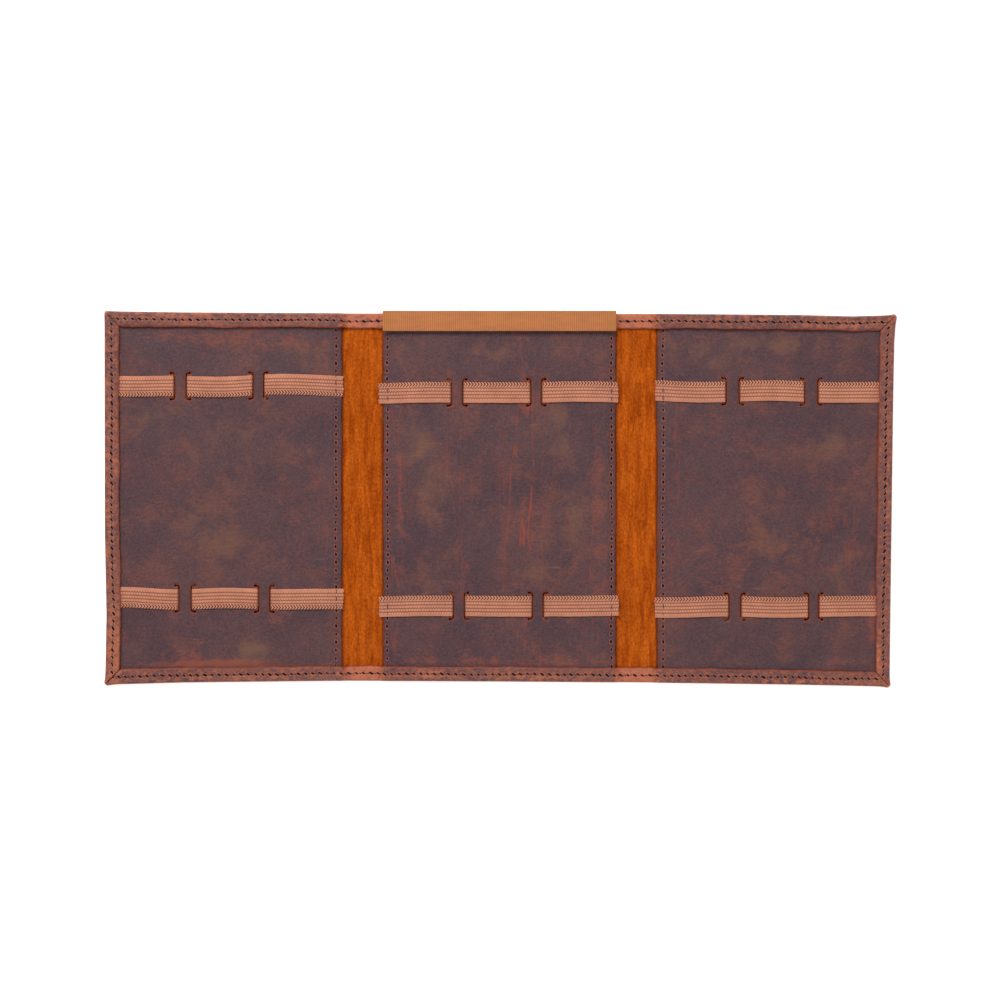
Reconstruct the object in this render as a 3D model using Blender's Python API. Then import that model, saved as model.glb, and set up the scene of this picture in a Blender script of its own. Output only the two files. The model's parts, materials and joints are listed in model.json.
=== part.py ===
"""Tri-fold leather pencil case, lying open on a table with its inside up.

Three stiff panels (left flap, centre, right flap) hang together by two soft fold strips. The outer
leather is turned over and sewn down all round as a hem. Each panel holds two elastic straps woven
through bracket-shaped slots, and a wide elastic closure band lies across the head of the centre.

Frame: metres, origin under the middle of the centre panel, +X to the right flap, +Y to the head,
+Z up out of the inside face. A leather fold can't bend as one rigid piece, so each fold strip has
one rigid slat between two hinges that turn together. What is left of the strip on either side of the
hinges belongs to the covers.
"""

import math

import bmesh
import bpy
from mathutils import Vector

# Overall size, lying open.
OPEN_WIDTH = 0.473
OPEN_HEIGHT = 0.222
CENTRE_WIDTH = 0.1396
FOLD_WIDTH = 0.025

# Sheet thicknesses, and the clearance left between neighbouring sheets.
LEATHER = 0.001
BOARD = 0.0006
ELASTIC = 0.0006
GAP = 0.0003

# Hem, seams and thread.
HEM_WIDTH = 0.009
HEM_STITCH_INSET = 0.0046
FLAP_SEAM_INSET = 0.0034
CENTRE_SEAM_INSET = 0.0025
THREAD_WIDTH = 0.0006
THREAD_HEIGHT = 0.0003
BOARD_MARGIN = 0.0047
BOARD_CLEAR = 0.001

# Elastic straps and their slots.
STRAP_WIDTH = 0.0124
STRAP_TAIL = 0.0025
SLOT_HEIGHT = 0.0165
SLOT_WIDTH = 0.0012
SLOT_HOOK = 0.0034
SLOT_CORNER = 0.0014
ARC_STEPS = 3

# Closure band.
BAND_LENGTH = 0.140
BAND_WIDTH = 0.0122
BAND_OVERHANG = 0.0015
BAND_TUCK = 0.010

# How far the two hinges of each fold lie from the centre panel's edge, and how far each one turns.
# The left flap folds first and lies low; the right flap folds over it.
LEFT_HINGES = (0.0076, 0.0210)
RIGHT_HINGES = (0.0021, 0.0229)
HINGE_TURN = 90.0

# Visible loops of each strap, from the middle of its row: (row height Y, [(start X, end X), ...]).
STRAPS = {
    "left": {
        "top": (0.0676, [(-0.2285, -0.1952), (-0.1881, -0.1480), (-0.1416, -0.0939)]),
        "bottom": (-0.0602, [(-0.2269, -0.1925), (-0.1851, -0.1447), (-0.1379, -0.0938)]),
    },
    "centre": {
        "top": (0.0637, [(-0.0725, -0.0289), (-0.0220, 0.0188), (0.0253, 0.0713)]),
        "bottom": (-0.0646, [(-0.0722, -0.0277), (-0.0210, 0.0198), (0.0263, 0.0716)]),
    },
    "right": {
        "top": (0.0642, [(0.0936, 0.1361), (0.1440, 0.1833), (0.1913, 0.2284)]),
        "bottom": (-0.0650, [(0.0933, 0.1378), (0.1450, 0.1857), (0.1917, 0.2269)]),
    },
}

# Heights that follow from the stack of sheets.
BOARD_Z = LEATHER + GAP
UNDERPASS_Z = BOARD_Z + BOARD + GAP
PANEL_Z = UNDERPASS_Z + ELASTIC + GAP
PANEL_TOP = PANEL_Z + LEATHER
OVERPASS_Z = PANEL_TOP + GAP
HEM_Z = OVERPASS_Z + ELASTIC + GAP
HEM_TOP = HEM_Z + LEATHER
BAND_Z = HEM_TOP + GAP
FOLD_HEM_Z = LEATHER + GAP
FOLD_HEM_TOP = FOLD_HEM_Z + LEATHER
HINGE_Z = LEATHER + GAP / 2

# Edges that follow from the overall size.
HALF_WIDTH = OPEN_WIDTH / 2
HALF_HEIGHT = OPEN_HEIGHT / 2
CENTRE_EDGE = CENTRE_WIDTH / 2
FLAP_EDGE = CENTRE_EDGE + FOLD_WIDTH
SEAM_END = HALF_HEIGHT - HEM_WIDTH - 0.0005
HEM_STITCH_Y = HALF_HEIGHT - HEM_STITCH_INSET

# Colour (linear RGB) and roughness of each material.
MATERIALS = {
    "cover_leather": ((0.110, 0.052, 0.045), 0.55),
    "panel_leather": ((0.095, 0.058, 0.060), 0.50),
    "suede": ((0.440, 0.078, 0.010), 0.95),
    "strap_elastic": ((0.560, 0.230, 0.140), 0.80),
    "band_elastic": ((0.530, 0.200, 0.065), 0.80),
    "board": ((0.780, 0.720, 0.600), 0.90),
    "thread": ((0.190, 0.130, 0.150), 0.70),
}


def clear_scene():
    for obj in list(bpy.data.objects):
        bpy.data.objects.remove(obj, do_unlink=True)


def make_materials():
    made = {}
    for name, (colour, roughness) in MATERIALS.items():
        material = bpy.data.materials.new(name)
        material.use_nodes = True
        shader = material.node_tree.nodes["Principled BSDF"]
        shader.inputs["Base Color"].default_value = (*colour, 1.0)
        shader.inputs["Roughness"].default_value = roughness
        shader.inputs["Metallic"].default_value = 0.0
        made[name] = material
    return made


def add_pivot(name, place, parent=None):
    """An empty on a joint's axis. place is in world coordinates."""
    pivot = bpy.data.objects.new(name, None)
    pivot.empty_display_size = 0.01
    bpy.context.scene.collection.objects.link(pivot)
    origin = parent["world"] if parent else Vector((0, 0, 0))
    pivot.location = Vector(place) - origin
    if parent:
        pivot.parent = parent["empty"]
    return {"empty": pivot, "world": Vector(place)}


def add_object(name, mesh_source, material, pivot):
    """An object from world-space geometry, with its own origin on its pivot."""
    bmesh.ops.translate(mesh_source, verts=mesh_source.verts, vec=-pivot["world"])
    mesh = bpy.data.meshes.new(name)
    mesh_source.to_mesh(mesh)
    mesh_source.free()
    mesh.materials.append(material)
    obj = bpy.data.objects.new(name, mesh)
    bpy.context.scene.collection.objects.link(obj)
    obj.parent = pivot["empty"]
    return obj


def union_of_boxes(boxes):
    """One closed mesh round boxes that share faces or overlap, each ((x0, y0, z0), (x1, y1, z1)).

    The space is cut into cells at every box face. A cell inside a box is filled, and each side of a
    filled cell that borders an empty one becomes a face.
    """
    cuts = [sorted({round(corner[axis], 7) for box in boxes for corner in box}) for axis in range(3)]
    sizes = [len(line) - 1 for line in cuts]

    def inside(cell):
        if any(not 0 <= cell[axis] < sizes[axis] for axis in range(3)):
            return False
        middle = [(cuts[axis][cell[axis]] + cuts[axis][cell[axis] + 1]) / 2 for axis in range(3)]
        return any(all(low[a] < middle[a] < high[a] for a in range(3)) for low, high in boxes)

    result = bmesh.new()
    corners = {}

    def corner(index):
        if index not in corners:
            corners[index] = result.verts.new([cuts[axis][index[axis]] for axis in range(3)])
        return corners[index]

    cells = [(i, j, k) for i in range(sizes[0]) for j in range(sizes[1]) for k in range(sizes[2])]
    for cell in filter(inside, cells):
        for axis in range(3):
            for side in (0, 1):
                neighbour = list(cell)
                neighbour[axis] += 2 * side - 1
                if inside(neighbour):
                    continue
                first, second = (axis + 1) % 3, (axis + 2) % 3
                ring = []
                for along, across in ((0, 0), (1, 0), (1, 1), (0, 1)):
                    index = list(cell)
                    index[axis] += side
                    index[first] += along
                    index[second] += across
                    ring.append(corner(tuple(index)))
                result.faces.new(ring if side else ring[::-1])
    bmesh.ops.dissolve_limit(result, angle_limit=0.001, verts=result.verts, edges=result.edges)
    bmesh.ops.triangulate(result, faces=result.faces)
    return result


def box(x0, x1, y0, y1, z0, z1):
    return ((min(x0, x1), min(y0, y1), min(z0, z1)), (max(x0, x1), max(y0, y1), max(z0, z1)))


def bracket_outline(height, hook, width, corner, towards):
    """Outline of a slot shaped like a square bracket, centred on its upright; hooks point to towards."""
    half = width / 2
    reach = height / 2 - half

    def side(offset):
        """The bracket's centre line moved sideways by offset, from its top hook to its bottom hook."""
        radius = corner + offset
        path = [(towards * hook, reach + offset)]
        for quarter, centre_y in ((0, reach - corner), (1, corner - reach)):
            for step in range(ARC_STEPS + 1):
                turn = math.radians(90) * (quarter + step / ARC_STEPS)
                x = towards * (corner - radius * math.sin(turn))
                path.append((x, centre_y + radius * math.cos(turn)))
        path.append((towards * hook, -reach - offset))
        return path

    def cap(centre_y):
        """The round end of a hook, from below to above, without its first and last points."""
        turns = [math.pi * (1 - step / (ARC_STEPS + 1)) for step in range(1, ARC_STEPS + 1)]
        return [(towards * (hook + half * math.sin(t)), centre_y + half * math.cos(t)) for t in turns]

    return side(half) + cap(-reach) + side(-half)[::-1] + cap(reach)


def extrude_outline(outline, low, high):
    """A closed prism from an outline in X and Y."""
    prism = bmesh.new()
    floor = prism.faces.new([prism.verts.new((x, y, low)) for x, y in outline])
    lifted = bmesh.ops.extrude_face_region(prism, geom=[floor])
    raised = [item for item in lifted["geom"] if isinstance(item, bmesh.types.BMVert)]
    bmesh.ops.translate(prism, verts=raised, vec=(0, 0, high - low))
    bmesh.ops.recalc_face_normals(prism, faces=prism.faces)
    return prism


def slots_of(loops):
    """(centre X, direction of its loop) for each slot between the loops of a strap."""
    found = []
    for (_, end), (start, _) in zip(loops, loops[1:]):
        found.append((end - ELASTIC / 2, -1))
        found.append((start + ELASTIC / 2, 1))
    return found


def strap_boxes(row, loops, left_tail=0.0, right_tail=0.0):
    """A strap that lies over the panel in each loop and under it between them."""
    low, high = row - STRAP_WIDTH / 2, row + STRAP_WIDTH / 2
    boxes = []
    for index, (start, end) in enumerate(loops):
        begin = start - left_tail if index == 0 else start
        finish = end + right_tail if index == len(loops) - 1 else end
        boxes.append(box(begin, finish, low, high, OVERPASS_Z, OVERPASS_Z + ELASTIC))
    for (_, end), (start, _) in zip(loops, loops[1:]):
        boxes.append(box(end - ELASTIC, start + ELASTIC, low, high, UNDERPASS_Z, UNDERPASS_Z + ELASTIC))
        for x in (end - ELASTIC, start):
            boxes.append(box(x, x + ELASTIC, low, high, UNDERPASS_Z, OVERPASS_Z + ELASTIC))
    return boxes


def hem_boxes(x0, x1, floor, top):
    """The turned-over leather at the head and the tail, from x0 to x1: a wall and a hem each."""
    boxes = []
    for side in (-1, 1):
        edge = side * HALF_HEIGHT
        boxes.append(box(x0, x1, edge - side * LEATHER, edge, 0, top))
        boxes.append(box(x0, x1, edge - side * HEM_WIDTH, edge, floor, top))
    return boxes


def setback(rise):
    """How far a hem or thread stops before a hinge, so that the two sides don't meet when it closes.

    rise is its height over the hinge.
    """
    return rise * math.tan(math.radians(HINGE_TURN) / 2) + GAP / 2


def stub_boxes(edge, hinge):
    """The piece of fold strip between a section's edge and the hinge beside it."""
    towards = math.copysign(1, hinge - edge)
    hem_end = hinge - towards * setback(FOLD_HEM_TOP - HINGE_Z)
    skin = box(edge, hinge - towards * GAP / 2, -HALF_HEIGHT, HALF_HEIGHT, 0, LEATHER)
    return [skin] + hem_boxes(edge, hem_end, FOLD_HEM_Z, FOLD_HEM_TOP)


def add_section(name, inner, outer, hinges, pivot, materials):
    """One stiff section: cover, board, slotted panel and two straps.

    inner and outer are its ends in X. hinges are the (end, hinge) pairs of the folds beside it.
    """
    side = 0 if name == "centre" else (1 if outer > 0 else -1)
    cover = [box(inner, outer, -HALF_HEIGHT, HALF_HEIGHT, 0, LEATHER)]
    cover += hem_boxes(inner, outer, HEM_Z, HEM_TOP)
    for edge, hinge in hinges:
        cover += stub_boxes(edge, hinge)
    panel_outer = outer
    if side:
        cover.append(box(outer - side * LEATHER, outer, -HALF_HEIGHT, HALF_HEIGHT, 0, HEM_TOP))
        cover.append(box(outer - side * HEM_WIDTH, outer, -HALF_HEIGHT, HALF_HEIGHT, HEM_Z, HEM_TOP))
        panel_outer = outer - side * (LEATHER + GAP)
    add_object(f"cover_{name}", union_of_boxes(cover), materials["cover_leather"], pivot)

    panel_half = HALF_HEIGHT - LEATHER - GAP
    panel = union_of_boxes([box(inner, panel_outer, -panel_half, panel_half, PANEL_Z, PANEL_TOP)])
    panel_object = add_object(f"panel_{name}", panel, materials["panel_leather"], pivot)
    cut_slots(panel_object, name, pivot)

    towards = side or 1
    board_inner = inner + towards * BOARD_MARGIN
    board_outer = outer - towards * (HEM_STITCH_INSET + BOARD_CLEAR if side else BOARD_MARGIN)
    board_half = HEM_STITCH_Y - BOARD_CLEAR
    board = union_of_boxes([box(board_inner, board_outer, -board_half, board_half, BOARD_Z, BOARD_Z + BOARD)])
    add_object(f"stiffener_{name}", board, materials["board"], pivot)

    for place, (row, loops) in STRAPS[name].items():
        reach = HALF_WIDTH - STRAP_TAIL
        left_tail = loops[0][0] + reach if side < 0 else 0.0
        right_tail = reach - loops[-1][1] if side > 0 else 0.0
        strap = union_of_boxes(strap_boxes(row, loops, left_tail, right_tail))
        add_object(f"elastic_{name}_{place}", strap, materials["strap_elastic"], pivot)


def cut_slots(panel, name, pivot):
    """Cuts the bracket slots of both straps through a panel."""
    cutter = bmesh.new()
    for row, loops in STRAPS[name].values():
        for x, towards in slots_of(loops):
            outline = bracket_outline(SLOT_HEIGHT, SLOT_HOOK, SLOT_WIDTH, SLOT_CORNER, towards)
            placed = [(x + across, row + along) for across, along in outline]
            prism = extrude_outline(placed, PANEL_Z - GAP / 2, PANEL_TOP + GAP / 2)
            mesh = bpy.data.meshes.new("slot")
            prism.to_mesh(mesh)
            prism.free()
            cutter.from_mesh(mesh)
            bpy.data.meshes.remove(mesh)
    tool = add_object(f"slot_cutter_{name}", cutter, panel.data.materials[0], pivot)
    tool.hide_render = True
    tool.display_type = "WIRE"
    cut = panel.modifiers.new("slots", "BOOLEAN")
    cut.operation = "DIFFERENCE"
    cut.solver = "EXACT"
    cut.object = tool


def thread_bar_x(x0, x1, y, z):
    return box(x0, x1, y - THREAD_WIDTH / 2, y + THREAD_WIDTH / 2, z, z + THREAD_HEIGHT)


def thread_bar_y(x, y0, y1, z):
    return box(x - THREAD_WIDTH / 2, x + THREAD_WIDTH / 2, y0, y1, z, z + THREAD_HEIGHT)


def add_seam(label, section, x, pivot, materials):
    """The seam that sews a panel's raw edge down: along the leather, and up over each strap's end."""
    on_leather, on_strap = PANEL_TOP + GAP, OVERPASS_Z + ELASTIC + GAP
    clear = STRAP_WIDTH / 2 + GAP
    outside = clear + THREAD_HEIGHT
    rows = sorted(row for row, _ in STRAPS[section].values())
    bars = []
    start = -SEAM_END
    for row in rows:
        bars.append(thread_bar_y(x, start, row - clear, on_leather))
        bars.append(thread_bar_y(x, row - outside, row + outside, on_strap))
        for y in (row - outside, row + clear):
            riser = thread_bar_y(x, y, y + THREAD_HEIGHT, on_leather)
            bars.append((riser[0], (*riser[1][:2], on_strap + THREAD_HEIGHT)))
        start = row + clear
    bars.append(thread_bar_y(x, start, SEAM_END, on_leather))
    add_object(label, union_of_boxes(bars), materials["thread"], pivot)


def add_flap_hem_thread(name, inner, outer, pivot, materials):
    """The lockstitch round a flap's hem: along the head, down the outer side and along the tail."""
    z = HEM_TOP + GAP
    turn = outer - math.copysign(HEM_STITCH_INSET, outer)
    bars = [thread_bar_x(inner, turn, sign * HEM_STITCH_Y, z) for sign in (-1, 1)]
    bars.append(thread_bar_y(turn, -HEM_STITCH_Y, HEM_STITCH_Y, z))
    add_object(f"stitching_{name}", union_of_boxes(bars), materials["thread"], pivot)


def add_centre_hem_thread(pivot, materials):
    """The lockstitch along the centre's hem. At the head it shows only between the band's tucks."""
    covered = BAND_LENGTH / 2 - BAND_TUCK - GAP
    for place, reach, y in (("head", covered, HEM_STITCH_Y), ("tail", CENTRE_EDGE, -HEM_STITCH_Y)):
        bar = thread_bar_x(-reach, reach, y, HEM_TOP + GAP)
        add_object(f"stitching_centre_{place}", union_of_boxes([bar]), materials["thread"], pivot)


def add_fold(name, side, start, end, materials):
    """A fold's slat between its two hinges, with its hem thread. Returns the slat's pivot."""
    pivot = add_pivot(f"{name}_fold_pivot", (side * start, 0, HINGE_Z))
    hem_setback = setback(FOLD_HEM_TOP - HINGE_Z)
    hem_low, hem_high = side * (start + hem_setback), side * (end - hem_setback)
    skin = box(side * (start + GAP / 2), side * (end - GAP / 2), -HALF_HEIGHT, HALF_HEIGHT, 0, LEATHER)
    slat = union_of_boxes([skin] + hem_boxes(hem_low, hem_high, FOLD_HEM_Z, FOLD_HEM_TOP))
    add_object(f"fold_strip_{name}", slat, materials["suede"], pivot)
    thread_z = FOLD_HEM_TOP + GAP
    thread_setback = setback(thread_z + THREAD_HEIGHT - HINGE_Z)
    thread_low, thread_high = side * (start + thread_setback), side * (end - thread_setback)
    for place, y in (("head", HEM_STITCH_Y), ("tail", -HEM_STITCH_Y)):
        bar = union_of_boxes([thread_bar_x(thread_low, thread_high, y, thread_z)])
        add_object(f"stitching_fold_{name}_{place}", bar, materials["thread"], pivot)
    return pivot


def add_closure_band(materials):
    """The wide elastic across the head, with both ends turned under and tacked to the hem."""
    head = HALF_HEIGHT + BAND_OVERHANG
    tail = head - BAND_WIDTH
    end = BAND_LENGTH / 2
    run_z = BAND_Z + ELASTIC + GAP
    boxes = [box(-end, end, tail, head, run_z, run_z + ELASTIC)]
    for side in (-1, 1):
        boxes.append(box(side * end, side * (end - BAND_TUCK), tail, head, BAND_Z, BAND_Z + ELASTIC))
        boxes.append(box(side * end, side * (end - ELASTIC), tail, head, BAND_Z, run_z + ELASTIC))
    pivot = add_pivot("closure_band_pivot", (0, head, BAND_Z))
    add_object("closure_band", union_of_boxes(boxes), materials["band_elastic"], pivot)


def main():
    clear_scene()
    materials = make_materials()
    root = add_pivot("centre_frame", (0, 0, 0))
    hinges = {
        -1: [CENTRE_EDGE + place for place in LEFT_HINGES],
        1: [CENTRE_EDGE + place for place in RIGHT_HINGES],
    }
    beside_centre = [(side * CENTRE_EDGE, side * pair[0]) for side, pair in hinges.items()]
    add_section("centre", -CENTRE_EDGE, CENTRE_EDGE, beside_centre, root, materials)
    add_centre_hem_thread(root, materials)
    seam_x = CENTRE_EDGE - CENTRE_SEAM_INSET
    add_seam("seam_centre_left", "centre", -seam_x, root, materials)
    add_seam("seam_centre_right", "centre", seam_x, root, materials)
    for name, side in (("left", -1), ("right", 1)):
        near, far = hinges[side]
        fold = add_fold(name, side, near, far, materials)
        pivot = add_pivot(f"{name}_flap_pivot", (side * far, 0, HINGE_Z), fold)
        inner, outer = side * FLAP_EDGE, side * HALF_WIDTH
        add_section(name, inner, outer, [(inner, side * far)], pivot, materials)
        add_flap_hem_thread(name, inner, outer, pivot, materials)
        add_seam(f"seam_{name}_flap", name, side * (FLAP_EDGE + FLAP_SEAM_INSET), pivot, materials)
    add_closure_band(materials)


main()
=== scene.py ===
"""Looks of the tri-fold leather pencil case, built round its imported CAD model.

Shapes are worked out in millimetres and turned to metres when a mesh is made. Every mesh keeps its
place at rest, in millimetres, as the point attribute "rest", which all the materials read, so the
grain stays on the leather where a fold bends it.
"""

import json
import math

import bmesh
import bpy
import numpy as np
from mathutils.geometry import delaunay_2d_cdt
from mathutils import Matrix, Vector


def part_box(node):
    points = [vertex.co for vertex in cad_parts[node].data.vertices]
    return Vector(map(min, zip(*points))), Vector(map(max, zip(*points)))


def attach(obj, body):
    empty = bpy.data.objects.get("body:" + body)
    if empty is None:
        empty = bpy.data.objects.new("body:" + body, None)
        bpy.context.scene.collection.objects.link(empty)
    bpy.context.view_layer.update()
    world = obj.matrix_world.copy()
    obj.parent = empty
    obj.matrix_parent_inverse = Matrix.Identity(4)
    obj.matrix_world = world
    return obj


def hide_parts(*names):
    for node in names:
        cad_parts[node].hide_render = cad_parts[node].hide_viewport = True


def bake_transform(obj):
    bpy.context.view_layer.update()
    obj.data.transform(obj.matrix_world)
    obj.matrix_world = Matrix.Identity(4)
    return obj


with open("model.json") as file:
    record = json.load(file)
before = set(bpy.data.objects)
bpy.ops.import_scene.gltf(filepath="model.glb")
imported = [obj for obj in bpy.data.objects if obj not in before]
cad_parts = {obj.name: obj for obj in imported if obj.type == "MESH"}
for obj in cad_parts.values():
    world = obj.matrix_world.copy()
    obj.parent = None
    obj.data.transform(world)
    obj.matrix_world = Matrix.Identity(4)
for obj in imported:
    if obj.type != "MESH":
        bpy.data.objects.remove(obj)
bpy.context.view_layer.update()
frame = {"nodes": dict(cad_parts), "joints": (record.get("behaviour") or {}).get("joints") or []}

MM = 0.001


def box_mm(node):
    """A CAD node's lowest and highest corners, in millimetres."""
    low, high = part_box(node)
    return np.array(low) / MM, np.array(high) / MM


# Places from the CAD model.
CENTRE_EDGE = box_mm("panel_centre")[1][0]
FLAP_EDGE = box_mm("panel_right")[0][0]
HALF_WIDTH = box_mm("cover_right")[1][0]
HALF_HEIGHT = box_mm("cover_centre")[1][1]
PANEL_HALF = box_mm("panel_centre")[1][1]
PANEL_TOP = box_mm("panel_centre")[1][2]
HEM_TOP = box_mm("cover_centre")[1][2]
FOLD_HEM_TOP = box_mm("fold_strip_left")[1][2]
STRAP_TOP = box_mm("elastic_centre_top")[1][2]
STRAP_FLOOR = box_mm("elastic_centre_top")[0][2]
BAND_LOW, BAND_HIGH = box_mm("closure_band")
THREAD_BAR_HALF = 0.3
STITCH_INSET = HALF_HEIGHT - box_mm("stitching_fold_left_head")[0][1] - THREAD_BAR_HALF
HINGES = {joint["name"]: abs(joint["pos_m"][0]) / MM for joint in frame["joints"]}

# Sizes that only the looks need.
HEM_WIDTH = 9.0
WRAP_BACK = 12.0
LEATHER = 0.9
FOLD_SKIN = 0.5
PANEL_LEATHER = 1.1
PITCH = 4.3
SEAM_PITCH = 4.8
FLAP_SEAM_INSET = 3.4
CENTRE_SEAM_INSET = 2.5
SLOT_HEIGHT = 16.5
SLOT_WIDTH = 0.7
SLOT_BULB = 0.35
SLOT_HOOK = 2.1
SLOT_CORNER = 1.4
STRAP_WIDTH = 12.4
PANEL_EDGE_DROP = 1.1
PANEL_MESH_STEP = 0.9
MITRE_HALF = 0.42
MITRE_DEPTH = 0.55
RING_INSET = 30.0
SUEDE_THICKNESS = 0.42
ELASTIC_THICKNESS = 0.5
BAND_LOOP = 0.6
BAND_TUCK = 10.0
STRAP_FRAY = 5.0
FLOOR_HALF = 12.0
FLOOR_BELOW = 0.0005

# The weave, in mm: the straps' ribs, picks and zigzag rows, and the closure band's ribs and threads.
RIB = 2.0
RIB_START = 0.6
PICK = 1.6
ZIG = 1.8
ZIG_LEAN = 0.9
ZIG_MIDDLE = 4.9 - RIB_START
BAND_RIB = 1.15
BAND_THREAD = 0.55

# Visible loops of each strap, from the middle of its row: (row Y, rise of the row per mm of X, loops).
STRAPS = {
    "left": {
        "top": (67.6, 0.006, [(-228.5, -195.2), (-188.1, -148.0), (-141.6, -93.9)]),
        "bottom": (-60.2, -0.006, [(-226.9, -192.5), (-185.1, -144.7), (-137.9, -93.8)]),
    },
    "centre": {
        "top": (63.7, 0.003, [(-72.5, -28.9), (-22.0, 18.8), (25.3, 71.3)]),
        "bottom": (-64.6, 0.001, [(-72.2, -27.7), (-21.0, 19.8), (26.3, 71.6)]),
    },
    "right": {
        "top": (64.2, -0.006, [(93.6, 136.1), (144.0, 183.3), (191.3, 228.4)]),
        "bottom": (-65.0, 0.004, [(93.3, 137.8), (145.0, 185.7), (191.7, 226.9)]),
    },
}


# Seeds of the random waves of the covers and panels.
COVER_SEED = 11
PANEL_SEEDS = {"left": 300, "centre": 320, "right": 340}


def smooth(value, low, high):
    """0 below low, 1 above high, and an even curve between."""
    t = np.clip((np.asarray(value, float) - low) / (high - low), 0, 1)
    return t * t * (3 - 2 * t)


def waves(value, seed, shortest, longest, count=7):
    """A smooth random wave of about unit size along value."""
    draw = np.random.RandomState(seed)
    total = np.zeros_like(np.asarray(value, float))
    for length in np.geomspace(shortest, longest, count):
        total = total + np.sin(2 * math.pi * (value / length + draw.rand())) * (length / longest) ** 0.4
    return total / math.sqrt(count / 2)


def rumple(x, y, seed, size):
    """A smooth random surface of about unit size over x and y."""
    draw = np.random.RandomState(seed)
    total = np.zeros_like(np.asarray(x, float) + y)
    for _ in range(9):
        turn = draw.rand() * math.pi
        length = size * draw.uniform(0.6, 1.8)
        way = x * math.cos(turn) + y * math.sin(turn)
        total = total + np.sin(2 * math.pi * (way / length + draw.rand()))
    return total / 2.2


def handmade(points):
    """Moves the cover's outline by the millimetre or two that it is out of true."""
    moved = points.copy()
    x, y = points[:, 0], points[:, 1]
    stops = [-236, -190, -100, 0, 90, 180, 210, 236]
    head = np.interp(x, stops, [1.6, 0.9, 0.4, 0.2, 0.1, -0.7, -1.5, -0.8])
    tail = np.interp(x, stops, [-0.9, 0.4, 1.4, 1.0, 0.3, -0.9, -1.5, -2.1])
    share = (y / HALF_HEIGHT + 1) / 2
    moved[:, 1] += head * share + tail * (1 - share)
    right = np.interp(y, [-111, -60, 0, 60, 95, 111], [-2.2, -1.6, -0.8, 0.0, 0.7, 1.8])
    left = np.interp(y, [-111, -70, -20, 111], [-0.4, 0.4, -0.6, -0.8])
    moved[:, 0] += right * smooth(x, FLAP_EDGE + 20, HALF_WIDTH)
    moved[:, 0] += left * smooth(-x, FLAP_EDGE + 20, HALF_WIDTH)
    return moved


# ---------------------------------------------------------------- materials


def srgb(red, green, blue):
    """Linear colour from 0 to 255 display values."""
    channels = [c / 255 for c in (red, green, blue)]
    return tuple(c / 12.92 if c <= 0.04045 else ((c + 0.055) / 1.055) ** 2.4 for c in channels) + (1.0,)


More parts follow.
